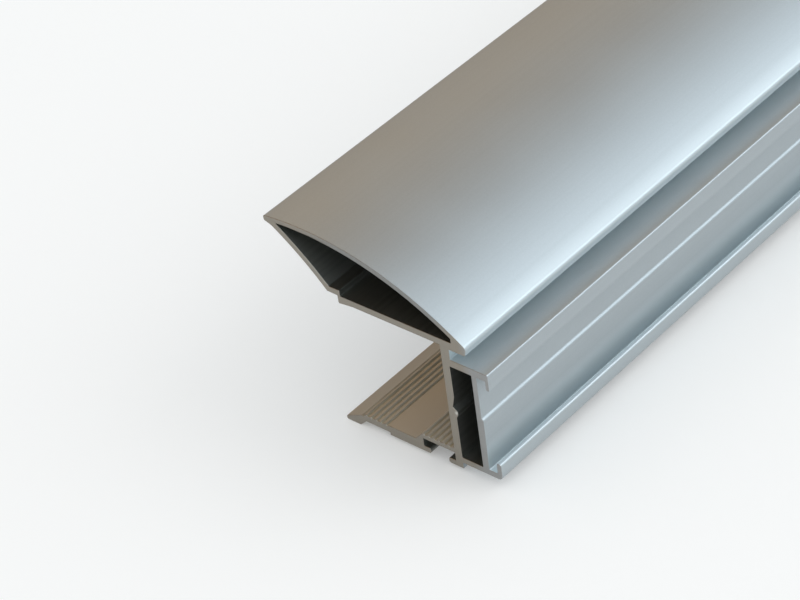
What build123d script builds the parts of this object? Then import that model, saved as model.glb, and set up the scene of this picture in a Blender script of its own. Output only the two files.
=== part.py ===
"""Aluminium extrusion profile, one piece of stock, cut square at both ends.

The section is a grip stile for a framed panel.  A hollow curved wing stands over
an open rebate, a thin boxed stem stops the panel, and a ribbed flange with a
brush-seal groove closes the rebate below.  A drip ledge and an upturned lip run
along the outer side.

Every size is in millimetres.  The section is drawn in x (across) and z (up), with
x = 0 on the stem's panel face and z = 0 under the toe of the flange, and it is
carried along Y.
"""

from build123d import *
import math
import os

# Stock
length = 1000.0

# Stem and boxed chamber
stem_wall = 1.6
neck_wall = 1.9
chamber_width = 4.6
chamber_height = 20.0
outer_wall = 1.05
outer_wall_step = 0.4
outer_wall_taper = 0.15
outer_step_height = 10.8
outer_step_slope = 0.45
nib_height = 9.6
nib_depth = 0.4
nib_length = 0.6
nib_slope = 0.8
relief_depth = 0.55
relief_length = 2.3

# Base with its upturned lip
base_wall = 1.2
gutter_width = 1.7
gutter_lip_wall = 0.95
gutter_lip_height = 2.3

# Ledge over the outer face, with a thin lip that hangs down
ledge_wall = 1.5
drip_gap = 1.9
drip_wall = 0.65
drip_height = 1.95

# Outer groove between the ledge and the wing
outer_groove_height = 2.15
wing_end_reach = 5.7
wing_end_wall = 1.68
wing_end_round = 0.9

# Wing
wing_reach = 37.4
wing_rise = 12.5
wing_radius = 60.5
skin_wall = 1.0
wing_floor_wall = 1.3
wing_floor_raise = 0.35
catch_reach = 22.4
catch_drop = 0.45
catch_length = 3.6
shelf_width = 2.3
shelf_raise = 1.25
grip_wall = 1.2
grip_radius = 60.0
nose_height = 1.0
nose_reach = 1.7
nose_relief = 0.6
hollow_end_reach = 2.6
catch_wall = 0.6

# Seal groove under the stem
seal_groove_width = 7.1
seal_groove_depth = 1.7
seal_hook_wall = 1.15
seal_hook_left = 1.5
seal_hook_right = 1.6
base_rise = 1.3

# Ribbed flange
hook_rise = 0.8
flange_wall = 2.1
bed_wall = 1.1
riser_width = 1.7
flange_reach = 25.1
nose_length = 4.7
toe_height = 0.75
toe_width = 3.2
toe_slope = 1.5
recess_width = 5.5
recess_depth = 0.6
groove_count = 6
groove_depth = 0.33
bed_groove_pitch = 1.12
bed_groove_start = 0.9
flange_groove_pitch = 1.115
flange_groove_start = 4.1

# Rounding of the die's corners
edge_round = 0.3
root_round = 0.3
fine_round = 0.15
tip_round = 0.45

# Levels, counted up from under the toe
hook_bottom = hook_rise
hook_top = hook_bottom + seal_hook_wall
seal_roof = hook_top + seal_groove_depth
bed_top = seal_roof + bed_wall
flange_top = hook_bottom + flange_wall
recess_roof = hook_bottom + recess_depth
base_bottom = hook_bottom + base_rise
chamber_floor = base_bottom + base_wall
chamber_roof = chamber_floor + chamber_height
ledge_top = chamber_roof + ledge_wall
wing_end_bottom = ledge_top + outer_groove_height
wing_bottom = wing_end_bottom + wing_floor_raise
hollow_floor = wing_bottom + wing_floor_wall
shelf_bottom = wing_bottom + shelf_raise
shelf_top = shelf_bottom + grip_wall
tip_top = wing_bottom + wing_rise

# Places across the section
chamber_right = stem_wall + chamber_width
wall_right = chamber_right + outer_wall
wall_right_low = wall_right + outer_wall_step
wall_right_base = wall_right_low - outer_wall_taper
lip_left = wall_right_low + gutter_width
lip_right = lip_left + gutter_lip_wall
ledge_right = wall_right + drip_gap + drip_wall
shoulder = nose_length - flange_reach
toe_right = toe_width - flange_reach
recess_left = toe_right + toe_slope
recess_right = recess_left + recess_width
section_left = -wing_reach
section_right = max(lip_right, ledge_right)

# The part's origin is the middle of its box, on the floor
section_plane = Plane(
    origin=(-(section_left + section_right) / 2, 0, 0),
    x_dir=(1, 0, 0),
    z_dir=(0, -1, 0),
)
low_left = (Align.MIN, Align.MIN)


def corners(sketch, *points):
    """Pick the sketch's vertices that stand nearest the named points."""
    found = sketch.vertices()
    return [found.sort_by_distance(Vector(x, z, 0))[0] for x, z in points]


def block(left, low, right, high, mode=Mode.ADD):
    """Draw a rectangle between two levels and two places across the section."""
    with Locations((left, low)):
        Rectangle(right - left, high - low, align=low_left, mode=mode)


def v_groove(depth):
    """Cut a 90 degree V whose mouth lies on the surface at this place."""
    side = depth * math.sqrt(2)
    Rectangle(side, side, rotation=45, mode=Mode.SUBTRACT)


# Points that more than one outline shares
wing_tip = (section_left, tip_top)
nose_low = (section_left, tip_top - nose_height)
grip_top = (section_left + nose_reach, nose_low[1] - nose_relief)
shelf_left = (-catch_reach - shelf_width, shelf_bottom)
wing_end_top = (wing_end_reach, wing_end_bottom + wing_end_wall)
wing_end_low = (wing_end_reach - edge_round, wing_end_bottom)

nib_top = chamber_floor + nib_height + nib_length
nib_root = nib_top + nib_slope
relief_share = relief_depth / (relief_depth + nib_depth)
nose_slope = (flange_top - toe_height) / nose_length

# The skin's centre, from its two ends and its radius
chord = Vector(*wing_end_top) - Vector(*wing_tip)
sagitta_arm = math.sqrt(wing_radius**2 - (chord.length / 2) ** 2)
skin_middle = (Vector(*wing_end_top) + Vector(*wing_tip)) / 2
skin_centre = skin_middle + Vector(chord.Y, -chord.X).normalized() * sagitta_arm

# The inside of the grip face, one wall in from its outside
grip_run = Vector(*grip_top) - Vector(*shelf_left)
grip_inward = Vector(grip_run.Y, -grip_run.X).normalized() * grip_wall
grip_inner_top = Vector(*grip_top) + grip_inward
grip_line = grip_run.normalized()
grip_inner_low = Vector(*shelf_left) + grip_inward
grip_inner_low += grip_line * ((shelf_top - grip_inner_low.Y) / grip_line.Y)
grip_inner_high = grip_inner_top + grip_line * skin_wall

# Corners that are rounded, and the most that each wall lets them be
tip_limit = min(tip_round, 0.45 * nose_height)
corner_round = min(2 * tip_round, 0.8 * base_wall)
lip_round = min(tip_round, 0.45 * gutter_lip_wall)
drip_round = min(edge_round, 0.45 * drip_wall)
hook_round = min(tip_round, 0.45 * seal_hook_wall)
lip_top = chamber_floor + gutter_lip_height
lip_corners = [(lip_left, lip_top), (lip_right, lip_top)]
drip_bottom = chamber_roof - drip_height
drip_corners = [(ledge_right - drip_wall, drip_bottom), (ledge_right, drip_bottom)]
hook_left = seal_hook_left - seal_groove_width
hook_corners = [
    (hook_left, hook_bottom),
    (hook_left, hook_top),
    (-seal_hook_right, hook_bottom),
    (-seal_hook_right, hook_top),
]
toe_corners = [(-flange_reach, toe_height), (-flange_reach, 0)]
chamber_corners = [
    (stem_wall, chamber_floor),
    (stem_wall, chamber_roof),
    (chamber_right, chamber_floor),
    (chamber_right, chamber_roof),
]
step_top = chamber_floor + outer_step_height
root_corners = [
    (0, wing_bottom),
    (0, bed_top),
    (wall_right, chamber_roof),
    (wall_right_base, chamber_floor),
    (lip_left, chamber_floor),
]

with BuildPart() as extruded_profile:
    with BuildSketch(section_plane) as section:
        # Stem from the seal hook up to the wing, thicker behind the outer groove
        block(0, hook_bottom, stem_wall, wing_bottom)
        block(0, chamber_roof, neck_wall, hollow_floor)

        # Box round the chamber, its outer wall stepped out below a small slope
        block(0, base_bottom, wall_right, ledge_top)
        with BuildLine():
            Polyline(
                (0, base_bottom),
                (wall_right_base, base_bottom),
                (wall_right_base, chamber_floor),
                (wall_right_low, step_top),
                (wall_right, step_top + outer_step_slope),
                (0, step_top + outer_step_slope),
                close=True,
            )
        make_face()

        # Base plate and its upturned lip
        block(0, base_bottom, lip_right, chamber_floor)
        block(lip_left, base_bottom, lip_right, chamber_floor + gutter_lip_height)

        # Ledge and the lip that hangs from its edge
        block(0, chamber_roof, ledge_right, ledge_top)
        block(ledge_right - drip_wall, drip_bottom, ledge_right, ledge_top)

        # Wing: curved skin, catch under its floor, grip face back up to the nose
        with BuildLine():
            skin = RadiusArc(wing_tip, wing_end_top, wing_radius)
            Polyline(
                wing_end_top,
                wing_end_low,
                (0, wing_end_bottom),
                (0, wing_bottom),
                (catch_length - catch_reach, wing_bottom),
                (-catch_reach, wing_bottom - catch_drop),
                (-catch_reach, shelf_bottom),
                shelf_left,
            )
            grip = RadiusArc(shelf_left, grip_top, -grip_radius)
            Polyline(grip_top, nose_low, wing_tip)
        make_face()

        # Flange plate with its sloped nose, its toe and the recess behind the toe
        with BuildLine():
            Polyline(
                (-seal_groove_width, hook_bottom),
                (-seal_groove_width, flange_top),
                (shoulder, flange_top),
                (-flange_reach, toe_height),
                (-flange_reach, 0),
                (toe_right, 0),
                (recess_left, recess_roof),
                (recess_right, recess_roof),
                (recess_right, hook_bottom),
                close=True,
            )
        make_face()

        # Raised bed over the seal groove, with its sloped riser
        with BuildLine():
            Polyline(
                (0, seal_roof),
                (0, bed_top),
                (-seal_groove_width, bed_top),
                (-seal_groove_width - riser_width, flange_top),
                (-seal_groove_width - riser_width, hook_bottom),
                (-seal_groove_width, hook_bottom),
                (-seal_groove_width, seal_roof),
                close=True,
            )
        make_face()

        # Hooks that hold the brush seal's backing
        block(-seal_groove_width, hook_bottom, seal_hook_left - seal_groove_width, hook_top)
        block(-seal_hook_right, hook_bottom, 0, hook_top)

        # Ribs: six V grooves on the bed and six on the flange, the outermost one
        # on the slope of the nose
        for i in range(groove_count):
            with Locations((-bed_groove_start - i * bed_groove_pitch, bed_top)):
                v_groove(groove_depth)
            place = flange_groove_start - flange_reach + i * flange_groove_pitch
            fall = max(0, shoulder - place) * nose_slope
            with Locations((place, flange_top - fall)):
                v_groove(groove_depth)

        # Roundings of the free corners
        fillet(corners(section, wing_tip, nose_low), tip_limit)
        fillet(corners(section, wing_end_top), min(wing_end_round, 0.55 * wing_end_wall))
        fillet(corners(section, wing_end_low), edge_round)
        fillet(corners(section, (-catch_reach, wing_bottom - catch_drop), shelf_left), edge_round)
        fillet(corners(section, (ledge_right, ledge_top)), edge_round)
        fillet(corners(section, (lip_right, base_bottom)), corner_round)
        fillet(corners(section, *lip_corners), lip_round)
        fillet(corners(section, *drip_corners), drip_round)
        fillet(corners(section, (wall_right_low, step_top)), fine_round)
        fillet(corners(section, *hook_corners), hook_round)
        fillet(corners(section, *toe_corners), edge_round)
        fillet(corners(section, (toe_right, 0)), tip_round)
        fillet(corners(section, *root_corners), root_round)

    extrude(amount=length / 2, both=True)

    # Hollow of the wing: under the skin, over the floor, the shelf and the grip wall
    with BuildSketch(section_plane) as wing_hollow:
        with BuildLine():
            RadiusArc(grip_inner_low, grip_inner_high, -(grip_radius + grip_wall))
            Polyline(
                grip_inner_low,
                (catch_wall - catch_reach, shelf_top),
                (catch_wall - catch_reach, hollow_floor),
                (hollow_end_reach, hollow_floor),
                (hollow_end_reach, tip_top + skin_wall),
                (section_left, tip_top + skin_wall),
                grip_inner_high,
            )
        make_face()
        with Locations(skin_centre):
            Circle(wing_radius - skin_wall, mode=Mode.INTERSECT)
        fillet(wing_hollow.vertices(), fine_round)
    extrude(amount=length / 2, both=True, mode=Mode.SUBTRACT)

    # Chamber of the stem, with a shallow relief over a small locating nib
    with BuildSketch(section_plane) as chamber:
        block(stem_wall, chamber_floor, chamber_right, chamber_roof)
        with BuildLine():
            Polyline(
                (stem_wall, nib_root + relief_length),
                (stem_wall - relief_depth, nib_root),
                (stem_wall, nib_root - nib_slope * relief_share),
                close=True,
            )
        make_face()
        with BuildLine():
            Polyline(
                (stem_wall, nib_root - nib_slope * relief_share),
                (stem_wall + nib_depth, nib_top),
                (stem_wall + nib_depth, nib_top - nib_length),
                (stem_wall, nib_top - nib_length - nib_slope),
                close=True,
            )
        make_face(mode=Mode.SUBTRACT)
        fillet(corners(chamber, *chamber_corners), fine_round)
    extrude(amount=length / 2, both=True, mode=Mode.SUBTRACT)

extruded_profile.part.label = "extruded_profile"

os.makedirs("parts", exist_ok=True)
export_step(extruded_profile.part, "parts/extruded_profile.step")
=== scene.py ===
# %% [markdown]
# # A bar of extruded aluminium
#
# The object is one length of profile: hot aluminium pushed through a steel die,
# stretched straight, anodised to a satin silver and sawn square at both ends. It is
# the grip stile of a sliding panel, with a hollow wing, a boxed stem and a ribbed
# flange. Nothing is joined to it, so its look comes from three things: an exact
# section, a satin metal, and soft light for that metal to reflect.
#
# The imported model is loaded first. It is a fixed frame: its box is measured here and
# once more at the end, so that any change of size shows.

import math

import bpy
import numpy as np
from mathutils import Matrix, Vector
from mathutils.geometry import tessellate_polygon


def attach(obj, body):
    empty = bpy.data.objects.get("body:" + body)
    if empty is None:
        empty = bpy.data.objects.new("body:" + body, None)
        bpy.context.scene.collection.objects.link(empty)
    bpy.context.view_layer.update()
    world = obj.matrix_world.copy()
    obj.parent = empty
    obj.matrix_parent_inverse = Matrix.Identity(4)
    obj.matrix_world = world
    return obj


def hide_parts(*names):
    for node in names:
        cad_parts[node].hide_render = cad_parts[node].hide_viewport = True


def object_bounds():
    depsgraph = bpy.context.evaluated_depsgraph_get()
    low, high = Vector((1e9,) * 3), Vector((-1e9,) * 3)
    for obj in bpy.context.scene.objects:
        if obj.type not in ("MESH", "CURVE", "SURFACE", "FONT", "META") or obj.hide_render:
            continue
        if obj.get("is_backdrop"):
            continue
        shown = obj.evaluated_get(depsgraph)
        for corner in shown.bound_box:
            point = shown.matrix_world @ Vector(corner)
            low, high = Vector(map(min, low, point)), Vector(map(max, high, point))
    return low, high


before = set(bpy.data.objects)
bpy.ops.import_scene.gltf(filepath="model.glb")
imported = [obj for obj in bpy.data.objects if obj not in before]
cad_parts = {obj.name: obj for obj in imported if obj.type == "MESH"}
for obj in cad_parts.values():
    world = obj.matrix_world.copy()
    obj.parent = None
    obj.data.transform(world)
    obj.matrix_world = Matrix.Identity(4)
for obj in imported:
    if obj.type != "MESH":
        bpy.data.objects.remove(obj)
mm = 0.001
scene = bpy.context.scene
scene.view_settings.view_transform = "Standard"

cad_box = [list(corner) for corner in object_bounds()]
cad_size = np.subtract(cad_box[1], cad_box[0]) / mm
print("nodes:", list(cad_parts), "CAD box in mm:", np.round(cad_size, 3))

# %% [markdown]
# ## The camera
#
# The photograph looks down on one end of the bar from the right, from about 750 mm
# away, through a long lens. The three directions below are the picture's right, up
# and back. They were worked out from the bar's own edges, which are square to each
# other, and they become the columns of the camera's matrix. Three angles would do the
# same, but directions can be checked against the picture one by one.

# %% Camera
picture_right = (0.7582, 0.6410, -0.1197)
picture_up = (-0.3197, 0.5254, 0.7885)
picture_back = (0.5683, -0.5596, 0.6032)
camera_place = (0.26328, -0.75335, 0.30665)

camera_data = bpy.data.cameras.new("camera")
camera_data.sensor_width = 36.0
camera_data.lens = 123.35
camera_data.clip_start = 0.01
camera = bpy.data.objects.new("camera", camera_data)
scene.collection.objects.link(camera)
turn = Matrix((picture_right, picture_up, picture_back)).transposed()
camera.matrix_world = Matrix.Translation(camera_place) @ turn.to_4x4()
scene.camera = camera
print("camera at", np.round(camera_place, 3), "m, lens", camera_data.lens, "mm")

# %% [markdown]
# ## Corners into arcs
#
# An extrusion is its section, so the section is where the care goes. A die has no
# perfectly sharp corner: wire cutting leaves every one a little round, and that small
# round is what catches the light as a bright line along the whole bar. A Bevel
# modifier could round the edges afterwards, but it knows one width for all. So the
# section is written as corners, each with its own radius, and one function turns every
# corner into an arc at once.
#
# x runs across the section from the stem's panel face, z runs up from the floor, and
# both are in millimetres.

# %% A rounded outline
arc_steps = 6
flat_length, flat_share = 0.12, 0.3
shortest_side = 1e-4


def rounded(rows, steps=arc_steps):
    """Turn rows of (x, z, radius) into a closed outline with an arc at each corner.

    For a corner P that is reached in unit direction a and left in unit direction b,
    the turn t is the angle from a to b.  The arc starts at P - a * r * tan(|t| / 2),
    and its point at share s of the turn is that start plus a chord of length
    2 * r * sin(|t| * s / 2) in direction a turned by t * s / 2.  One more point is
    put on the flat just before and after each arc, so that the flat shades as flat.
    """
    point, radius = rows[:, :2], rows[:, 2]
    side = np.roll(point, -1, axis=0) - point
    side_length = np.hypot(*side.T)
    b = side / side_length[:, None]
    a = np.roll(b, 1, axis=0)
    turn = np.arctan2(a[:, 0] * b[:, 1] - a[:, 1] * b[:, 0], (a * b).sum(axis=1))
    reach = radius * np.tan(np.abs(turn) / 2)

    free = side_length - reach - np.roll(reach, -1)
    if free.min() < 0:
        raise ValueError(f"no room for the arcs beside corner {point[free.argmin()]}")
    flat = np.minimum(flat_length, flat_share * free)
    flat_after = np.where(radius > 0, flat, 0)
    flat_before = np.where(radius > 0, np.roll(flat, 1), 0)

    half = turn[:, None] * np.linspace(0, 1, steps + 1) / 2
    chord = 2 * radius[:, None] * np.abs(np.sin(half))
    heading_x = a[:, :1] * np.cos(half) - a[:, 1:] * np.sin(half)
    heading_z = a[:, :1] * np.sin(half) + a[:, 1:] * np.cos(half)
    start = point - a * reach[:, None]
    arc = start[:, None] + chord[..., None] * np.stack([heading_x, heading_z], axis=-1)

    before = (start - a * flat_before[:, None])[:, None]
    after = (point + b * (reach + flat_after)[:, None])[:, None]
    outline = np.concatenate([before, arc, after], axis=1).reshape(-1, 2)
    step = np.hypot(*(outline - np.roll(outline, 1, axis=0)).T)
    return outline[step > shortest_side]


square = np.array([(0.0, 0, 1), (9, 0, 1), (9, 9, 1), (0, 9, 1)])
print("a square with round corners has", len(rounded(square)), "points")

# %% [markdown]
# ## Long arcs
#
# The skin of the wing and the face of the grip are long shallow arcs of about 60 mm
# radius. They have to be smooth, because a satin metal shows every facet as a stripe.
# An arc is given by its two ends and its radius, as on a drawing, and it becomes more
# rows for the outline.

# %% A long arc


def arc_rows(start, end, radius, margin, count):
    """Points on the circular arc from start to end, without its two ends.

    The centre lies to the right of the way from start to end for a positive radius
    and to the left for a negative one.  The first and last points stand a margin in
    from the ends, which leaves room for the rounded corners there, and the others are
    at equal angles between them.  Their own radius is 0: they are already a curve.
    """
    start, end = np.array(start), np.array(end)
    way = end - start
    right = np.array([way[1], -way[0]]) / np.hypot(*way) * np.sign(radius)
    arm = math.sqrt(radius**2 - (way @ way) / 4)
    centre = (start + end) / 2 + right * arm
    first = math.atan2(*(start - centre)[::-1])
    last = math.atan2(*(end - centre)[::-1])
    sweep = (last - first + math.pi) % (2 * math.pi) - math.pi
    trim = margin / abs(radius) * np.sign(sweep)
    angle = first + np.linspace(trim, sweep - trim, count)
    x = centre[0] + abs(radius) * np.cos(angle)
    z = centre[1] + abs(radius) * np.sin(angle)
    return np.stack([x, z, 0 * x], axis=1), centre


quarter, _ = arc_rows((0.0, 1.0), (1.0, 0.0), radius=1.0, margin=0.1, count=4)
print("on a quarter circle:", np.round(quarter[:, :2], 2).tolist())

# %% [markdown]
# ## Skin and grip
#
# The wing is the bar's large curved plate. Its skin rises from the blunt end over the
# outer groove to the tip, and the grip, the hollow face that fingers pull on, comes
# back down to a shelf. The ends of both arcs are corners of the outline. The centres
# are kept, because the hollow inside the wing shares them.

# %% Skin and grip
arc_margin = 0.7
skin_radius, grip_radius = 60.5, 60.0
skin_count, grip_count = 72, 24
wing_end_top = (5.7, 28.63)
wing_end_low = (5.4, 26.95)
wing_tip = (-37.4, 39.8)
nose_low = (-37.4, 38.8)
grip_top = (-35.7, 38.2)
shelf_left = (-24.7, 28.55)
skin_rows, skin_centre = arc_rows(wing_end_top, wing_tip, -skin_radius, arc_margin, skin_count)
grip_rows, grip_centre = arc_rows(grip_top, shelf_left, grip_radius, arc_margin, grip_count)
print("the skin turns about", np.round(skin_centre, 2), "and the grip about",
      np.round(grip_centre, 2))

# %% [markdown]
# ## The ribs
#
# Two bands of fine V grooves run along the flange: six on its bed beside the stem, and
# six on its outer part. On the real part they give a seal or a strip of glue something
# to hold. A bump could fake them, but they show on the cut end too, so they are cut
# into the outline. Each groove is three corners: the mouth, the root and the mouth
# again. The outermost one is cut into the sloped nose, square to its surface, so the
# function takes the direction of the face as well.

# %% Grooves
groove_depth = 0.33
groove_round = 0.06


def groove_rows(places, face):
    """Rows for V grooves at these points, on a face that is walked in unit direction face.

    With d the depth and n the inward normal, a groove's corners are P - d * face,
    P + d * n and P + d * face, which is a V of 90 degrees.
    """
    places, face = np.atleast_2d(places), np.array(face)
    inward = np.array([-face[1], face[0]])
    corners = places[:, None] + groove_depth * np.array([-face, inward, face])
    corners = corners.reshape(-1, 2)
    return np.column_stack([corners, np.full(len(corners), groove_round)])


leftward = (-1.0, 0.0)
print("one groove at 0, 0:", groove_rows((0.0, 0.0), leftward).tolist())

# %% [markdown]
# ## Where the ribs are
#
# On the bed all the grooves are at one height. On the flange they stay on its level
# top as far as the shoulder, and from there on the slope of the nose, which falls to
# the top of the toe.

# %% Places of the grooves
bed_top, flange_top, toe_height = 4.75, 2.9, 0.75
shoulder, flange_left = -20.4, -25.1
bed_groove_start, bed_groove_pitch = -0.9, 1.12
flange_groove_start, flange_groove_pitch = -15.425, 1.115
groove_count = 6

groove_number = np.arange(groove_count)
bed_x = bed_groove_start - bed_groove_pitch * groove_number
bed_places = np.stack([bed_x, np.full(len(bed_x), bed_top)], axis=1)
flange_x = flange_groove_start - flange_groove_pitch * groove_number
nose_slope = (flange_top - toe_height) / (shoulder - flange_left)
flange_z = flange_top - np.maximum(0, shoulder - flange_x) * nose_slope
flange_places = np.stack([flange_x, flange_z], axis=1)
nose_face =np.array([-1.0, -nose_slope]) / math.hypot(1, nose_slope)
print("grooves on the bed:", len(bed_places), "and on the flange:", len(flange_places))

# %% [markdown]
# ## The outline: the underside
#
# The corners follow the outline once round with the metal on their left: along the
# underside from the toe, up the outer side, back over the wing, round the grip and
# down to the flange. One long list would be hard to check, so each side has its own.
# The walls are those of the solid model, and a few corners are rounder than there.
#
# The underside starts at the toe, crosses a shallow recess, goes round the seal groove
# between its two hooks, and ends under the gutter. The hooks would hold a brush.

# %% Underside
die_round, edge_round, tip_round, gutter_round = 0.08, 0.3, 0.45, 0.9
stem_wall, base_bottom, lip_right = 1.6, 2.1, 10.3
hook_bottom, hook_top, seal_roof = 0.8, 1.95, 3.65
hook_left_end, hook_right_end, bed_left = -5.6, -1.6, -7.1
recess_left, recess_right, recess_roof, toe_right = -20.4, -14.9, 1.4, -21.9

underside = [
    (flange_left, 0, edge_round),
    (toe_right, 0, tip_round),
    (recess_left, recess_roof, die_round),
    (recess_right, recess_roof, die_round),
    (recess_right, hook_bottom, die_round),
    (hook_left_end, hook_bottom, tip_round),
    (hook_left_end, hook_top, tip_round),
    (bed_left, hook_top, die_round),
    (bed_left, seal_roof, die_round),
    (0, seal_roof, die_round),
    (0, hook_top, die_round),
    (hook_right_end, hook_top, tip_round),
    (hook_right_end, hook_bottom, tip_round),
    (stem_wall, hook_bottom, die_round),
    (stem_wall, base_bottom, die_round),
    (lip_right, base_bottom, gutter_round),
]
print("seal groove:", -bed_left, "mm wide, open", round(hook_right_end - hook_left_end, 2), "mm")

# %% [markdown]
# ## The outline: the outer side
#
# From the gutter's lip the way goes up the stem's outer wall, which leans out a little
# to a small sloped step at half its height. Over it are the ledge with its thin
# hanging lip, the narrow neck behind the outer groove, and the blunt end of the wing.
# All of it is straight from corner to corner, so the corners say everything.

# %% Outer side
step_round, lip_round, wing_end_round = 0.5, 0.42, 0.9
lip_left, lip_top, neck_wall = 9.35, 5.6, 1.9
wall_right, wall_right_low, wall_right_base = 7.25, 7.65, 7.5
step_low, step_high, chamber_floor, chamber_roof = 14.1, 14.55, 3.3, 23.3
ledge_right, drip_left, drip_bottom = 9.8, 9.15, 21.35
ledge_top, wing_end_bottom = 24.8, 26.95

outer_side = [
    (lip_right, lip_top, lip_round),
    (lip_left, lip_top, lip_round),
    (lip_left, chamber_floor, edge_round),
    (wall_right_base, chamber_floor, edge_round),
    (wall_right_low, step_low, step_round),
    (wall_right, step_high, step_round),
    (wall_right, chamber_roof, edge_round),
    (drip_left, chamber_roof, die_round),
    (drip_left, drip_bottom, edge_round),
    (ledge_right, drip_bottom, edge_round),
    (ledge_right, ledge_top, edge_round),
    (neck_wall, ledge_top, die_round),
    (neck_wall, wing_end_bottom, die_round),
    (*wing_end_low, edge_round),
    (*wing_end_top, wing_end_round),
]
print("outer groove:", round(wing_end_bottom - ledge_top, 2), "mm high")

# %% [markdown]
# ## The outline: nose, catch and flange
#
# At the wing's tip a blunt nose turns the outline back, and the grip leads down to a
# catch under the wing. Between it and the flange lies the rebate that takes a panel.
# The long arcs and the ribs are already rows, so the whole outline is these lists one
# after the other, and one call rounds them all.

# %% Nose, catch and flange
catch_left, catch_bottom, catch_end = -22.4, 26.85, -18.8
shelf_bottom, wing_bottom, riser_left = 28.55, 27.3, -8.8

nose = [
    (*wing_tip, tip_round),
    (*nose_low, tip_round),
    (*grip_top, die_round),
]
catch = [
    (*shelf_left, edge_round),
    (catch_left, shelf_bottom, die_round),
    (catch_left, catch_bottom, edge_round),
    (catch_end, wing_bottom, die_round),
    (0, wing_bottom, edge_round),
    (0, bed_top, edge_round),
]
riser = [
    (bed_left, bed_top, 0),
    (riser_left, flange_top, die_round),
]
print("panel rebate:", round(wing_bottom - bed_top, 2), "mm high")

# %% Whole outline
outer = rounded(np.vstack([
    underside,
    outer_side,
    skin_rows,
    nose,
    grip_rows,
    catch,
    groove_rows(bed_places, leftward),
    riser,
    groove_rows(flange_places[:-1], leftward),
    [(shoulder, flange_top, 0)],
    groove_rows(flange_places[-1], nose_face),
    [(flange_left, toe_height, edge_round)],
]))
print("outer outline:", len(outer), "points,", np.round(np.ptp(outer, axis=0), 2), "mm")

# %% [markdown]
# ## The wing's hollow
#
# The wing and the stem are hollow, which is what makes such a section stiff for its
# weight. The wing's hollow lies one wall inside the skin and the grip. Offsetting the
# whole outline would give a wrong shape at the step, so the hollow is drawn by itself:
# its arcs share their centres with the outer ones, and its corners are where circles
# and levels meet. Hollows are walked the other way round, so that the metal is again
# on the left and the same sweep gives walls that face into the hollow.

# %% Where circles meet


def on_circle(centre, radius, x=None, z=None):
    """The point of a circle at this x, its upper one, or at this z, its right one.

    With d the known step from the centre, the other step is sqrt(radius^2 - d^2).
    """
    if z is None:
        return np.array([x, centre[1] + math.sqrt(radius**2 - (x - centre[0]) ** 2)])
    return np.array([centre[0] + math.sqrt(radius**2 - (z - centre[1]) ** 2), z])


def circles_meet(centre_a, radius_a, centre_b, radius_b):
    """The higher of the two points where two circles meet.

    With c the distance of the centres and u the unit vector from a to b, the points
    are a + u * p +/- v * h, where p = (c^2 + ra^2 - rb^2) / 2c, h^2 = ra^2 - p^2 and
    v is u turned by a right angle.
    """
    way = centre_b - centre_a
    c = np.hypot(*way)
    u = way / c
    p = (c**2 + radius_a**2 - radius_b**2) / (2 * c)
    h = math.sqrt(radius_a**2 - p**2)
    meets = [centre_a + u * p + np.array([-u[1], u[0]]) * k for k in (h, -h)]
    return max(meets, key=lambda point: point[1])


skin_wall, grip_wall = 1.0, 1.2
inner_skin_radius = skin_radius - skin_wall
inner_grip_radius = grip_radius + grip_wall
hollow_tip = circles_meet(skin_centre, inner_skin_radius, grip_centre, inner_grip_radius)
print("the hollow's tip lies at", np.round(hollow_tip, 2))

# %% Wing hollow
catch_wall, fine_round = 0.6, 0.15
shelf_top, hollow_floor, hollow_right = 29.75, 28.6, 2.6
hollow_margin = 1.2
inner_grip_count, inner_skin_count = 20, 56

hollow_end = on_circle(skin_centre, inner_skin_radius, x=hollow_right)
hollow_low = on_circle(grip_centre, inner_grip_radius, z=shelf_top)
inner_grip, _ = arc_rows(hollow_low, hollow_tip, -inner_grip_radius, hollow_margin,
                         inner_grip_count)
inner_skin, _ = arc_rows(hollow_tip, hollow_end, inner_skin_radius, hollow_margin,
                         inner_skin_count)
wing_hollow = rounded(np.vstack([
    [(*hollow_low, fine_round)],
    inner_grip,
    [(*hollow_tip, fine_round)],
    inner_skin,
    [
        (*hollow_end, fine_round),
        (hollow_right, hollow_floor, fine_round),
        (catch_wall + catch_left, hollow_floor, fine_round),
        (catch_wall + catch_left, shelf_top, fine_round),
    ],
]))
print("wing hollow:", len(wing_hollow), "points")

# %% [markdown]
# ## The stem's chamber
#
# The chamber is a plain slot but for one side: a small locating nib, with a shallow
# relief over it. Both are only half a millimetre, yet the photograph shows them on the
# cut end, so they are corners of the outline and not a bump. The area of the metal
# tells whether all three outlines are right: it is what the bar weighs.

# %% Chamber
chamber_left, chamber_right = stem_wall, 6.2
nib_top, nib_low, nib_root, relief_top = 13.5, 12.9, 14.3, 16.6
nib_depth, relief_depth, nib_slope = 0.4, 0.55, 0.8

relief_share = relief_depth / (relief_depth + nib_depth)
nib_shoulder = nib_root - nib_slope * relief_share
chamber = rounded(np.array([
    (chamber_left, chamber_floor, fine_round),
    (chamber_left, nib_low - nib_slope, die_round),
    (chamber_left + nib_depth, nib_low, die_round),
    (chamber_left + nib_depth, nib_top, die_round),
    (chamber_left, nib_shoulder, 0),
    (chamber_left - relief_depth, nib_root, die_round),
    (chamber_left, relief_top, die_round),
    (chamber_left, chamber_roof, fine_round),
    (chamber_right, chamber_roof, fine_round),
    (chamber_right, chamber_floor, fine_round),
]))
print("chamber:", len(chamber), "points")

# %% Area


def area(outline):
    """Signed area of an outline, positive where it runs anticlockwise: half the sum
    of x_i * z_(i+1) - z_i * x_(i+1)."""
    x, z = outline.T
    return (x @ np.roll(z, -1) - z @ np.roll(x, -1)) / 2


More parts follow.
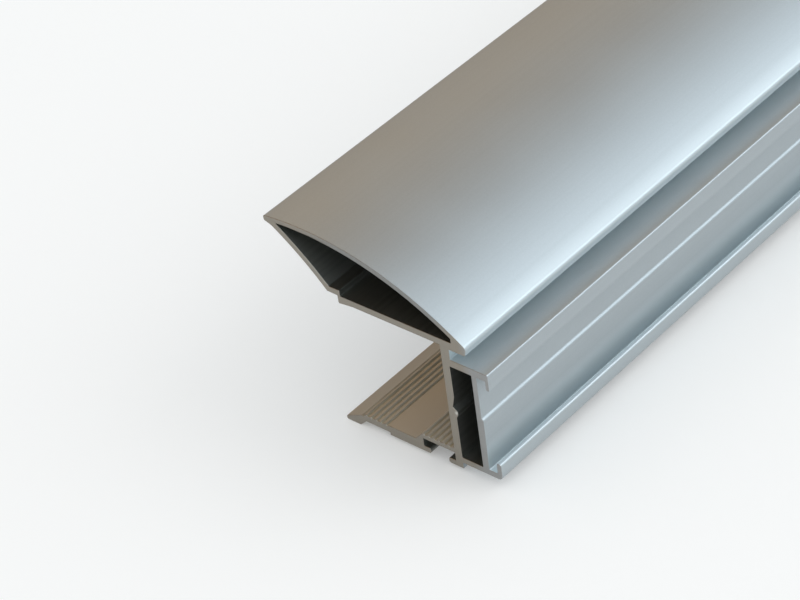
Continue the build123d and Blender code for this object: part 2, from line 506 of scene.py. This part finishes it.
metal = area(outer) + area(wing_hollow) + area(chamber)
print("metal in the section:", round(metal, 1), "mm2, hollows", round(area(wing_hollow), 1),
      "and", round(area(chamber), 1))

# %% [markdown]
# ## Carrying the section along the bar
#
# The bar is the section carried along Y. A curve with a bevel object could do it, but
# arrays give each end its own edge. The saw leaves its mark as a tiny broken edge: the
# last few hundredths of a millimetre lean inwards at 45 degrees, which is enough to
# draw a thin light line round the cut.

# %% Rings along the bar
bar_length = 1000.0
section_shift = 13.55
cut_break = 0.05
ring_count = 26

inner_rings = np.linspace(-bar_length / 2 + cut_break, bar_length / 2 - cut_break, ring_count)
ring_y = np.concatenate([[-bar_length / 2], inner_rings, [bar_length / 2]])
ring_inset = np.zeros(len(ring_y))
ring_inset[[0, -1]] = cut_break
print(len(ring_y), "rings, from", ring_y[0], "to", ring_y[-1], "mm")

# %% Outward directions


def outward(outline):
    """Unit normals of an outline with its metal on the left: each point's normal is
    the sum of the normals of its two sides, (dz, -dx) of each, made one long."""
    side = np.roll(outline, -1, axis=0) - outline
    normal = np.stack([side[:, 1], -side[:, 0]], axis=1) / np.hypot(*side.T)[:, None]
    normal = normal + np.roll(normal, 1, axis=0)
    return normal / np.hypot(*normal.T)[:, None]


print("outward at the first point, on the toe:", np.round(outward(outer)[0], 2))

# %% [markdown]
# ## The walls
#
# Every ring is the section once more, and each pair of rings is joined by four-sided
# faces. Their corner numbers follow from the counts alone, so they are worked out for
# all the faces at once.

# %% Sweep


def swept(outline, first):
    """Vertices and quads of an outline carried along Y.

    The point of ring i and corner j is (x + shift, y_i, z) with (x, z) = corner -
    normal * inset_i.  Its quad joins rings i and i + 1 and corners j and j + 1, in
    the order that turns its face away from the metal.
    """
    corner = outline[None] - outward(outline)[None] * ring_inset[:, None, None]
    y = np.broadcast_to(ring_y[:, None], corner.shape[:2])
    vertices = np.stack([corner[..., 0] + section_shift, y, corner[..., 1]], axis=-1)
    rings, count = corner.shape[:2]
    index = first + np.arange(rings * count).reshape(rings, count)
    onward = np.roll(index, -1, axis=1)
    quads = np.stack([index[:-1], index[1:], onward[1:], onward[:-1]], axis=-1)
    return vertices.reshape(-1, 3) * mm, quads.reshape(-1, 4), index


loops = [outer, wing_hollow, chamber]
parts, first = [], 0
for loop in loops:
    parts.append(swept(loop, first))
    first += len(parts[-1][0])
vertices = np.concatenate([part[0] for part in parts]).clip(*cad_box)
quads = np.concatenate([part[1] for part in parts])
print("walls:", len(vertices), "vertices and", len(quads), "quads")

# %% [markdown]
# ## Closing the ends
#
# An end is a flat face with two holes, which a mesh can't hold as one face. It is cut
# into triangles between the outline and the hollows, once for both ends, and each
# triangle is turned so that it faces out of the bar.

# %% Ends
near_ring = np.concatenate([part[2][0] for part in parts])
far_ring = np.concatenate([part[2][-1] for part in parts])
flat_loops = [[Vector((x, z, 0)) for x, z in loop] for loop in loops]
triangles = np.array(tessellate_polygon(flat_loops))
corner = np.concatenate(loops)[triangles]
edge_a, edge_b = corner[:, 1] - corner[:, 0], corner[:, 2] - corner[:, 0]
clockwise = edge_a[:, 0] * edge_b[:, 1] < edge_a[:, 1] * edge_b[:, 0]
triangles[clockwise] = triangles[clockwise][:, ::-1]
near_cap = near_ring[triangles]
far_cap = far_ring[triangles][:, ::-1]
print("each end:", len(triangles), "triangles")

# %% [markdown]
# ## The mesh
#
# The arrays go into one mesh in one step. Edges are sharp only where two faces meet at
# more than 30 degrees, which is at the saw cuts. The corners are arcs already, so
# smooth shading needs no modifier to help it.

# %% Mesh
sharp_angle = 30

bar_mesh = bpy.data.meshes.new("extruded_bar")
bar_mesh.from_pydata(vertices, [], [*quads.tolist(), *near_cap.tolist(), *far_cap.tolist()])
bar_mesh.polygons.foreach_set("use_smooth", np.ones(len(bar_mesh.polygons), dtype=bool))
bar_mesh.set_sharp_from_angle(angle=math.radians(sharp_angle))
bar_mesh.validate()
bar = bpy.data.objects.new("extruded_bar", bar_mesh)
scene.collection.objects.link(bar)
print("bar mesh:", len(bar_mesh.vertices), "vertices,", len(bar_mesh.polygons), "faces")

# %% [markdown]
# ## Three surfaces
#
# Each face keeps a number for the surface it belongs to: the anodised outside, the sawn ends, or
# the walls of the hollows. The narrow seal groove under the stem counts with the hollows, so
# that their darker metal gives it painted shade. The faces come in a known order, so slices of
# an array are enough and nothing has to be picked by hand.

# %% Surfaces
anodised, sawn, hollow_and_painted_shade = range(3)
groove_slack, hook_slack = 0.1, 0.05

surface = np.full(len(bar_mesh.polygons), sawn, dtype=np.int32)
outer_quads = len(parts[0][1])
surface[:outer_quads] = anodised
surface[outer_quads:len(quads)] = hollow_and_painted_shade

groove_low = (bed_left - groove_slack, hook_bottom + hook_slack)
groove_high = (groove_slack, seal_roof + groove_slack)
painted_shade_groove = ((outer > groove_low) & (outer < groove_high)).all(axis=1)
painted_shade_groove &= np.roll(painted_shade_groove, -1)
# The seal groove gets the darker metal of the hollows as painted shade.
surface[:outer_quads][np.tile(painted_shade_groove, len(ring_y) - 1)] = hollow_and_painted_shade
broken_ring = np.isin(quads, np.concatenate([near_ring, far_ring])).any(axis=1)
surface[:len(quads)][broken_ring] = sawn
print("faces anodised, sawn and in hollows:", np.bincount(surface))

# %% [markdown]
# ## Painted light in the ribs
#
# The bottoms of the grooves between the ribs are painted lighter and warmer: painted light,
# which lifts the shade that falls in them. No pattern in space can follow grooves a third of a
# millimetre deep, so every vertex gets its own number: how deep it lies below the crest of the
# ribs, from 0 to 1, and at least 0.3 on the sloped nose. The material reads it as an attribute.

# %% Depth in the grooves
groove_side = 0.5
crest_slack = 1.2 * groove_depth
nose_light = 0.3

x, z = outer.T
crest = np.where(x > bed_left, bed_top, flange_top - np.maximum(0, shoulder - x) * nose_slope)
on_bed = (x > bed_left) & (x < bed_groove_start + groove_side)
on_flange = (x > flange_x[-1] - groove_side) & (x < flange_x[0] + groove_side)
ribbed = (on_bed | on_flange) & (z > crest - crest_slack)
groove_light = np.where(ribbed, (crest - z) / groove_depth, 0).clip(0, 1)
groove_light = np.maximum(groove_light, nose_light * ((x < shoulder) & (z > crest - groove_depth)))

vertex_groove_light = np.zeros(len(bar_mesh.vertices), dtype=np.float32)
vertex_groove_light[:len(outer) * len(ring_y)] = np.tile(groove_light, len(ring_y))
groove_light_layer = bar_mesh.attributes.new("rib_painted_light", "FLOAT", "POINT")
groove_light_layer.data.foreach_set("value", vertex_groove_light)
print("points of the outline with film:", np.count_nonzero(groove_light.round(2)), "of", len(outer))

# %% [markdown]
# ## Colours and nodes
#
# Colours are written as they look, as sRGB hex values, and one function turns them
# into the linear values that the renderer works with. Another adds one node with its
# settings and its links. Together they keep each material below readable.

# %% Colours


def linear(hex_colour):
    """sRGB hex to linear: c / 12.92 below 0.04045, else ((c + 0.055) / 1.055) ^ 2.4."""
    c = np.array([int(hex_colour[i:i + 2], 16) / 255 for i in (1, 3, 5)])
    return (*np.where(c <= 0.04045, c / 12.92, ((c + 0.055) / 1.055) ** 2.4).tolist(), 1.0)


print("middle grey is", np.round(linear("#808080"), 3))

# %% Nodes


def add_node(tree, kind, settings=None, **inputs):
    """Add one node, set its properties, and give each named input a value or a link.

    An input is named by its socket in words joined with _, or by s and its number.
    """
    node = tree.nodes.new(kind)
    for name, value in (settings or {}).items():
        setattr(node, name, value)
    for name, value in inputs.items():
        key = int(name[1:]) if name[1:].isdigit() else name.replace("_", " ")
        if isinstance(value, bpy.types.NodeSocket):
            tree.links.new(value, node.inputs[key])
        else:
            node.inputs[key].default_value = value
    return node


def new_material(name):
    """A new material with an empty node tree and its output node."""
    material = bpy.data.materials.new(name)
    material.use_nodes = True
    material.node_tree.nodes.clear()
    return material, add_node(material.node_tree, "ShaderNodeOutputMaterial")


satin, satin_output = new_material("satin_anodised_aluminium")
print("new material:", satin.name, "with", len(satin.node_tree.nodes), "node")

# %% [markdown]
# ## Satin anodised aluminium
#
# The bar was etched in caustic soda and then anodised. The etch leaves a fine frosted
# grain of about a tenth of a millimetre, which is why the metal shows broad soft
# gradients and no mirror image. The die leaves lines along the bar, very faint after
# the etch. Both are noise, and the lines are the same noise stretched five hundred
# times along Y. The grain is 0.3 mm, three times coarser than the real one, which
# would be lost between the pixels.

# %% Grain and die lines
grain_size = 0.3 * mm
line_spacing = 0.5 * mm
line_length = 250 * mm
cloud_size = 18 * mm
line_weight, tone_low, tone_high = 0.5, 0.45, 1.05

tree = satin.node_tree
place = add_node(tree, "ShaderNodeTexCoord").outputs["Object"]
stretch = (1, line_spacing / line_length, 1)
along = add_node(tree, "ShaderNodeMapping", Vector=place, Scale=stretch)
grain = add_node(tree, "ShaderNodeTexNoise", Vector=place, Scale=1 / grain_size, Detail=2.0)
lines = add_node(tree, "ShaderNodeTexNoise", Vector=along.outputs[0],
                 Scale=1 / line_spacing, Detail=1.0)
clouds = add_node(tree, "ShaderNodeTexNoise", Vector=place, Scale=1 / cloud_size, Detail=2.0)
tone = add_node(tree, "ShaderNodeMath", {"operation": "MULTIPLY_ADD"},
                s0=lines.outputs[0], s1=line_weight, s2=grain.outputs[0])
tone = add_node(tree, "ShaderNodeMapRange", Value=tone.outputs[0],
                From_Min=tone_low, From_Max=tone_high)
colour = add_node(tree, "ShaderNodeMix", {"data_type": "RGBA"}, Factor=tone.outputs[0],
                  s6=linear("#A8B0B4"), s7=linear("#ADB5B9"))
print("satin grain", grain_size / mm, "mm, die lines", line_spacing / mm, "mm apart")

# %% [markdown]
# ## Painted warm reflection and shade in the pocket
#
# The colour drifts a little with the place in the section, as much as the photograph asks for.
# The pocket between wing and flange gets a warmer colour that grows darker towards the nose:
# painted warm reflection and shade, for the dim warm light the pocket sees under the wing. In
# the grooves between the ribs it is lighter and warmer still, which is painted light. The pocket
# is found by its place in the section, with soft edges, because painted shade has no hard ones.

# %% Warm pocket
pocket_side, pocket_inner = 15.0 * mm, 13.6 * mm
pocket_top, pocket_full = 27.2 * mm, 24.0 * mm
warm_start, warm_full = -4.0 * mm, -9.0 * mm

split = add_node(tree, "ShaderNodeSeparateXYZ", Vector=place)
inner_side = add_node(tree, "ShaderNodeMapRange", Value=split.outputs["X"],
                      From_Min=pocket_side, From_Max=pocket_inner)
under_wing = add_node(tree, "ShaderNodeMapRange", Value=split.outputs["Z"],
                      From_Min=pocket_top, From_Max=pocket_full)
pocket = add_node(tree, "ShaderNodeMath", {"operation": "MULTIPLY"},
                  s0=inner_side.outputs[0], s1=under_wing.outputs[0])
to_nose = add_node(tree, "ShaderNodeMapRange", Value=split.outputs["X"],
                   From_Min=warm_start, From_Max=warm_full)
# Painted warm reflection and shade in the pocket, darker towards the nose.
painted_warmth = add_node(tree, "ShaderNodeMix", {"data_type": "RGBA"}, Factor=to_nose.outputs[0],
                   s6=linear("#B6B3AB"), s7=linear("#A69F92"))
# The groove bottoms are painted lighter and warmer than the pocket: painted light.
painted_groove_light = add_node(tree, "ShaderNodeAttribute", {"attribute_name": "rib_painted_light"})
painted_warmth = add_node(tree, "ShaderNodeMix", {"data_type": "RGBA"},
                   Factor=painted_groove_light.outputs["Fac"],
                   s6=painted_warmth.outputs[2], s7=linear("#C1B496"))
colour = add_node(tree, "ShaderNodeMix", {"data_type": "RGBA"}, Factor=pocket.outputs[0],
                  s6=colour.outputs[2], s7=painted_warmth.outputs[2])
print("warm from", round(pocket_inner / mm, 1), "mm to the left, full from",
      round(warm_full / mm, 1), "mm")

# %% [markdown]
# ## Paler corners
#
# The groove over the ledge and the corner beside the lip get a paler metal, which reaches the
# wing's blunt end as well: painted light that lifts the shade in these corners and brightens
# that end. Each is near a line along the bar, and the distance from a line along Y is a distance
# in the section: a Mapping node with 0 for its Y scale flattens the bar into its section first.

# %% Paler corners
ledge_root_place = (17.0 * mm, 0, 26.3 * mm)
gutter_root_place = (20.6 * mm, 0, 5.5 * mm)
light_edge, light_full = 4.2 * mm, 1.0 * mm
into_section = (1, 0, 1)

flat = add_node(tree, "ShaderNodeMapping", Vector=place, Scale=into_section)
ledge_root = add_node(tree, "ShaderNodeVectorMath", {"operation": "DISTANCE"},
                      s0=flat.outputs[0], s1=ledge_root_place)
gutter_root = add_node(tree, "ShaderNodeVectorMath", {"operation": "DISTANCE"},
                       s0=flat.outputs[0], s1=gutter_root_place)
nearer = add_node(tree, "ShaderNodeMath", {"operation": "MINIMUM"},
                  s0=ledge_root.outputs["Value"], s1=gutter_root.outputs["Value"])
painted_corner_light = add_node(tree, "ShaderNodeMapRange", Value=nearer.outputs[0],
                     From_Min=light_edge, From_Max=light_full)
# Painted light: paler metal near the two corners.
colour = add_node(tree, "ShaderNodeMix", {"data_type": "RGBA"}, Factor=painted_corner_light.outputs[0],
                  s6=colour.outputs[2], s7=linear("#C6D0D3"))
print("pale within", round(light_full / mm, 1), "mm of two corners")

# %% [markdown]
# ## The satin shader
#
# The oxide over the metal is a slightly grey glass that scatters part of the light
# before the metal can mirror it. So this metal is not fully metallic: with all of it
# mirrored, the narrow corners came out nearly black, and the real ones are only dim.
# Its gloss is a little cloudy, and the grain and the die lines are small slopes of its
# surface, one bump on top of the other.

# %% Satin shader
etch_depth = 0.03 * mm

roughness = add_node(tree, "ShaderNodeMapRange", Value=clouds.outputs[0],
                     From_Min=0.3, From_Max=0.7, To_Min=0.40, To_Max=0.44)
grain_bump = add_node(tree, "ShaderNodeBump", Height=grain.outputs[0],
                      Strength=0.12, Distance=etch_depth)
line_bump = add_node(tree, "ShaderNodeBump", Height=lines.outputs[0], Strength=0.06,
                     Distance=etch_depth, Normal=grain_bump.outputs[0])
metal_shader = add_node(tree, "ShaderNodeBsdfPrincipled", Metallic=0.6,
                        Base_Color=colour.outputs[2], Roughness=roughness.outputs[0],
                        Normal=line_bump.outputs[0])
tree.links.new(metal_shader.outputs[0], satin_output.inputs["Surface"])
print("satin nodes:", len(tree.nodes))

# %% [markdown]
# ## Sawn aluminium
#
# The ends were cut with a carbide circular saw after anodising, so they are bare metal, duller
# than the oxide. Their warm tone is a painted warm reflection. The teeth leave shallow arcs of
# the blade's own radius, about half a millimetre apart, with some smeared metal between them. A
# Wave texture draws rings round a point, and at scale 1 they are 2 pi / 20 apart. Its point is
# put where the saw's shaft was: below the bar, one blade radius away, and a little to the right.

# %% Saw marks
blade_radius = 175 * mm
blade_side = 60 * mm
tooth_mark = 0.45 * mm
smear_size = 1.5 * mm
ring_spacing = 2 * math.pi / 20

sawn_metal, sawn_output = new_material("sawn_aluminium")
tree = sawn_metal.node_tree
place = add_node(tree, "ShaderNodeTexCoord").outputs["Object"]
from_blade = add_node(tree, "ShaderNodeMapping", Vector=place,
                      Location=(-blade_side, 0, blade_radius))
marks = add_node(tree, "ShaderNodeTexWave", {"wave_type": "RINGS", "rings_direction": "Y"},
                 Vector=from_blade.outputs[0], Scale=ring_spacing / tooth_mark,
                 Distortion=1.5, Detail=2.0, Detail_Scale=0.5)
smear = add_node(tree, "ShaderNodeTexNoise", Vector=place, Scale=1 / smear_size, Detail=3.0)
print("saw marks", tooth_mark / mm, "mm apart, on arcs of", blade_radius / mm, "mm")

# %% [markdown]
# ## Painted light and shade on the cut
#
# Both thin outer walls are painted cooler on the cut: the stem's outer wall lighter, as painted
# light, and the skin of the wing darker, but for its tip, as painted shade. On the small nib in
# the chamber the cut gets a painted highlight. All are found by their place in the section, as
# in the pocket.

# %% Tints of the cut
wall_light_start, wall_light_full = 17.5 * mm, 20.0 * mm
skin_shade_start, skin_shade_full = 30.0 * mm, 32.5 * mm
tip_clear, tip_shaded = -16.5 * mm, -6.5 * mm
nib_place = (15.3 * mm, 0, 13.2 * mm)
nib_highlight_size, nib_highlight_core = 0.5 * mm, 0.15 * mm

split = add_node(tree, "ShaderNodeSeparateXYZ", Vector=place)
painted_wall_light = add_node(tree, "ShaderNodeMapRange", Value=split.outputs["X"],
                      From_Min=wall_light_start, From_Max=wall_light_full)
painted_skin_shade = add_node(tree, "ShaderNodeMapRange", Value=split.outputs["Z"],
                     From_Min=skin_shade_start, From_Max=skin_shade_full)
off_tip = add_node(tree, "ShaderNodeMapRange", Value=split.outputs["X"],
                   From_Min=tip_clear, From_Max=tip_shaded)
painted_skin_shade = add_node(tree, "ShaderNodeMath", {"operation": "MULTIPLY"},
                     s0=painted_skin_shade.outputs[0], s1=off_tip.outputs[0])
flat = add_node(tree, "ShaderNodeMapping", Vector=place, Scale=into_section)
from_nib = add_node(tree, "ShaderNodeVectorMath", {"operation": "DISTANCE"},
                    s0=flat.outputs[0], s1=nib_place)
painted_nib_highlight = add_node(tree, "ShaderNodeMapRange", Value=from_nib.outputs["Value"],
                From_Min=nib_highlight_size, From_Max=nib_highlight_core)

# The cut's warm tone is a painted warm reflection, varied at random by the smear.
colour = add_node(tree, "ShaderNodeMix", {"data_type": "RGBA"}, Factor=smear.outputs[0],
                  s6=linear("#8F8A81"), s7=linear("#9D978D"))
# Painted light on the stem's outer wall, painted shade on the wing's skin and a painted
# highlight at the nib.
for painted_tone, hex_colour in ((painted_wall_light, "#9C9D9D"), (painted_skin_shade, "#8E8F8D"), (painted_nib_highlight, "#C9C8C2")):
    colour = add_node(tree, "ShaderNodeMix", {"data_type": "RGBA"}, Factor=painted_tone.outputs[0],
                      s6=colour.outputs[2], s7=linear(hex_colour))
print("painted_nib_highlight", nib_highlight_size / mm, "mm round the nib")

# %% [markdown]
# ## The sawn shader
#
# No oxide covers the cut, so this metal is fully metallic. Where the metal is smeared
# it is rougher too, so the same noise gives the colour and the roughness. The teeth's
# marks are hundredths of a millimetre deep, which is a matter for a bump.

# %% Sawn shader
mark_depth = 0.02 * mm

roughness = add_node(tree, "ShaderNodeMapRange", Value=smear.outputs[0],
                     To_Min=0.4, To_Max=0.6)
mark_bump = add_node(tree, "ShaderNodeBump", Height=marks.outputs[0],
                     Strength=0.2, Distance=mark_depth)
metal_shader = add_node(tree, "ShaderNodeBsdfPrincipled", Metallic=1.0,
                        Base_Color=colour.outputs[2], Roughness=roughness.outputs[0],
                        Normal=mark_bump.outputs[0])
tree.links.new(metal_shader.outputs[0], sawn_output.inputs["Surface"])
print("sawn nodes:", len(tree.nodes))

# %% [markdown]
# ## Inside the hollows
#
# The anodising bath hardly reaches into a metre of narrow hollow, and the die's mandrel drags
# along its walls. They stay a dull grey mill finish with deeper lines, and since little light
# gets in, they look nearly black. The open seal groove under the stem gets this darker metal
# too, as painted shade. A black paint would look the same from one side only: this one is right
# when light shines in, too.

# %% Mill finish inside
drag_spacing = 0.7 * mm
drag_depth = 0.03 * mm

mill_and_painted_shade, mill_output = new_material("mill_finish_and_painted_shade")
tree = mill_and_painted_shade.node_tree
place = add_node(tree, "ShaderNodeTexCoord").outputs["Object"]
along = add_node(tree, "ShaderNodeMapping", Vector=place, Scale=stretch)
drags = add_node(tree, "ShaderNodeTexNoise", Vector=along.outputs[0],
                 Scale=1 / drag_spacing, Detail=2.0)
colour = add_node(tree, "ShaderNodeMix", {"data_type": "RGBA"}, Factor=drags.outputs[0],
                  s6=linear("#7A7B76"), s7=linear("#94958F"))
drag_bump = add_node(tree, "ShaderNodeBump", Height=drags.outputs[0],
                     Strength=0.2, Distance=drag_depth)
metal_shader = add_node(tree, "ShaderNodeBsdfPrincipled", Metallic=1.0, Roughness=0.45,
                        Base_Color=colour.outputs[2], Normal=drag_bump.outputs[0])
tree.links.new(metal_shader.outputs[0], mill_output.inputs["Surface"])
print("mandrel lines", drag_spacing / mm, "mm apart")

# %% [markdown]
# ## Putting the bar in the frame
#
# The bar stands for the imported model's one node and rides on its one body.

# %% Attach
for material in (satin, sawn_metal, mill_and_painted_shade):
    bar_mesh.materials.append(material)
bar_mesh.polygons.foreach_set("material_index", surface)
bar_mesh.update()

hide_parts("extruded_profile")
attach(bar, "root")
print("surfaces:", {m.name: int((surface == i).sum()) for i, m in enumerate(bar_mesh.materials)})

# %% [markdown]
# ## The floor
#
# The photograph has a plain white ground. White paper under soft light is nearly
# white by itself, and it keeps the bar's soft shadow. The last step towards white is a
# small glow that only some rays see: those from the camera, and mirrored and
# transmitted ones, so that the metal shows the same floor. No other ray meets it, so
# the paper throws no extra light on the bar.

# %% Floor
floor_size = 30.0
paper_lift = 0.19

paper, paper_output = new_material("white_paper")
tree = paper.node_tree
ray = add_node(tree, "ShaderNodeLightPath").outputs
mirrored = add_node(tree, "ShaderNodeMath", {"operation": "MAXIMUM"},
                    s0=ray["Is Glossy Ray"], s1=ray["Is Transmission Ray"])
seen = add_node(tree, "ShaderNodeMath", {"operation": "MAXIMUM"},
                s0=ray["Is Camera Ray"], s1=mirrored.outputs[0])
lift = add_node(tree, "ShaderNodeMath", {"operation": "MULTIPLY"},
                s0=seen.outputs[0], s1=paper_lift)
matt = add_node(tree, "ShaderNodeBsdfDiffuse", Color=linear("#E6E8E8"))
lit = add_node(tree, "ShaderNodeEmission", Strength=lift.outputs[0])
both = add_node(tree, "ShaderNodeAddShader", s0=matt.outputs[0], s1=lit.outputs[0])
tree.links.new(both.outputs[0], paper_output.inputs["Surface"])

half = floor_size / 2
floor_mesh = bpy.data.meshes.new("floor")
floor_mesh.from_pydata([(-half, -half, 0), (half, -half, 0), (half, half, 0),
                        (-half, half, 0)], [], [(0, 1, 2, 3)])
floor_mesh.materials.append(paper)
floor = bpy.data.objects.new("floor", floor_mesh)
scene.collection.objects.link(floor)
floor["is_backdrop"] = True
print("floor", floor_size, "m square")

# %% [markdown]
# ## Light for metal: a tent
#
# Metal has no colour of its own to light. It shows its surroundings, blurred by its
# grain, so lighting it means choosing what it sees. The real bar saw something cool
# and bright high on its right and something dim and warm on its left. A photographer
# builds the same with a light tent: one sheet arched over the bar and lit from one
# side. The sheet here glows by its angle round the bar: soft and cool at the right,
# brightest at about 45 degrees, less overhead, and a dim brown at the left. The steps
# were matched to the wing, whose curved skin shows a different angle at every point.

# %% Glow by angle
glows = [
    (0.00, (0.60, 0.67, 0.71)),
    (0.12, (1.20, 1.34, 1.42)),
    (0.18, (2.20, 2.45, 2.60)),
    (0.24, (3.80, 4.12, 4.32)),
    (0.30, (3.00, 3.26, 3.46)),
    (0.34, (1.62, 1.76, 1.88)),
    (0.39, (1.16, 1.28, 1.37)),
    (0.44, (0.96, 1.05, 1.12)),
    (0.51, (0.37, 0.34, 0.31)),
    (0.58, (0.28, 0.17, 0.08)),
    (0.65, (0.33, 0.16, 0.01)),
    (0.73, (0.50, 0.26, 0.04)),
    (0.80, (0.88, 0.54, 0.20)),
    (0.86, (0.20, 0.09, 0.02)),
    (1.00, (0.05, 0.01, 0.00)),
]
brightest = max(glows, key=lambda step: sum(step[1]))
print("the tent glows in", len(glows), "steps, most at", round(brightest[0] * 180), "degrees")

# %% [markdown]
# ## The tent's cloth
#
# A colour ramp turns the angle into a glow. The angle of a point round the bar is
# atan2(z, x), from 0 at the right to pi at the left, and divided by pi it is the
# ramp's share from 0 to 1. A ramp's colours end at 1 too, so the glows are divided by
# 5 there, and the strength of the emission brings them back.

# %% Tent cloth
glow_scale = 5.0

tent_cloth, tent_output = new_material("tent_cloth")
tree = tent_cloth.node_tree
place = add_node(tree, "ShaderNodeTexCoord").outputs["Object"]
split = add_node(tree, "ShaderNodeSeparateXYZ", Vector=place)
angle = add_node(tree, "ShaderNodeMath", {"operation": "ARCTAN2"},
                 s0=split.outputs["Z"], s1=split.outputs["X"])
share = add_node(tree, "ShaderNodeMath", {"operation": "DIVIDE"},
                 s0=angle.outputs[0], s1=math.pi)
ramp = add_node(tree, "ShaderNodeValToRGB", Fac=share.outputs[0])
stops = ramp.color_ramp.elements
while len(stops) < len(glows):
    stops.new(1.0)
for stop, (position, value) in zip(stops, glows):
    stop.position = position
    stop.color = (*(v / glow_scale for v in value), 1.0)
glow = add_node(tree, "ShaderNodeEmission", Color=ramp.outputs[0], Strength=glow_scale)
tree.links.new(glow.outputs[0], tent_output.inputs["Surface"])
print("cloth nodes:", len(tree.nodes))

# %% [markdown]
# ## The tent's arch
#
# The cloth is half a cylinder over the bar. The points of its rim are (R cos a,
# +-L/2, R sin a) for a from 0 to pi, and its faces look inwards. It is hidden from the
# camera and from matt surfaces: only gloss sees it, so it adds no light to the paper.

# %% Tent
tent_radius = 1.6
tent_length = 9.0
tent_segments = 60

arch = np.linspace(0, math.pi, tent_segments + 1)
rim = np.stack([tent_radius * np.cos(arch), 0 * arch, tent_radius * np.sin(arch)], axis=1)
to_end = np.array([0, tent_length / 2, 0])
index = np.arange(tent_segments)
row = tent_segments + 1
tent_faces = np.stack([index, index + 1, index + 1 + row, index + row], axis=1)
tent_mesh = bpy.data.meshes.new("light_tent")
tent_mesh.from_pydata(np.vstack([rim - to_end, rim + to_end]), [], tent_faces.tolist())
tent_mesh.materials.append(tent_cloth)
tent = bpy.data.objects.new("light_tent", tent_mesh)
scene.collection.objects.link(tent)
tent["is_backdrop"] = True
tent.visible_camera = False
tent.visible_diffuse = False
tent.visible_shadow = False
print("tent", tent_radius, "m high,", tent_length, "m long")

# %% [markdown]
# ## Lamp and sky
#
# One large soft lamp at the right gives the bar its faint shadow on the paper. The sky
# is plain white. On a level matt surface the lamp counts for 0.12 and the sky for 0.88,
# together 1, so that such a colour comes out as it is written.

# %% Lamp and sky
lamp_place = Vector((1.05, 0.35, 1.05))
sky_strength = 0.88

lamp_data = bpy.data.lights.new("soft_lamp", "AREA")
lamp_data.shape = "SQUARE"
lamp_data.size = 1.2
lamp_data.energy = 4.0
lamp = bpy.data.objects.new("soft_lamp", lamp_data)
scene.collection.objects.link(lamp)
lamp_turn = lamp_place.to_track_quat("Z", "Y").to_matrix().to_4x4()
lamp.matrix_world = Matrix.Translation(lamp_place) @ lamp_turn
lamp.visible_camera = False
lamp.visible_glossy = False

sky = bpy.data.worlds.new("sky")
scene.world = sky
sky.use_nodes = True
tree = sky.node_tree
tree.nodes.clear()
background = add_node(tree, "ShaderNodeBackground", Color=(1, 1, 1, 1),
                      Strength=sky_strength)
add_node(tree, "ShaderNodeOutputWorld", Surface=background.outputs[0])
print("lamp", lamp_data.energy, "W, sky", sky_strength)

# %% [markdown]
# ## Measure and finish
#
# The bar may not be larger or smaller than the solid it stands for. The bar stands
# for the solid, so both boxes are written down side by side.

# %% Finish
seen_box = [list(corner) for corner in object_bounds()]
seen_size = np.subtract(seen_box[1], seen_box[0]) / mm
print("visual box in mm:", np.round(seen_size, 3))
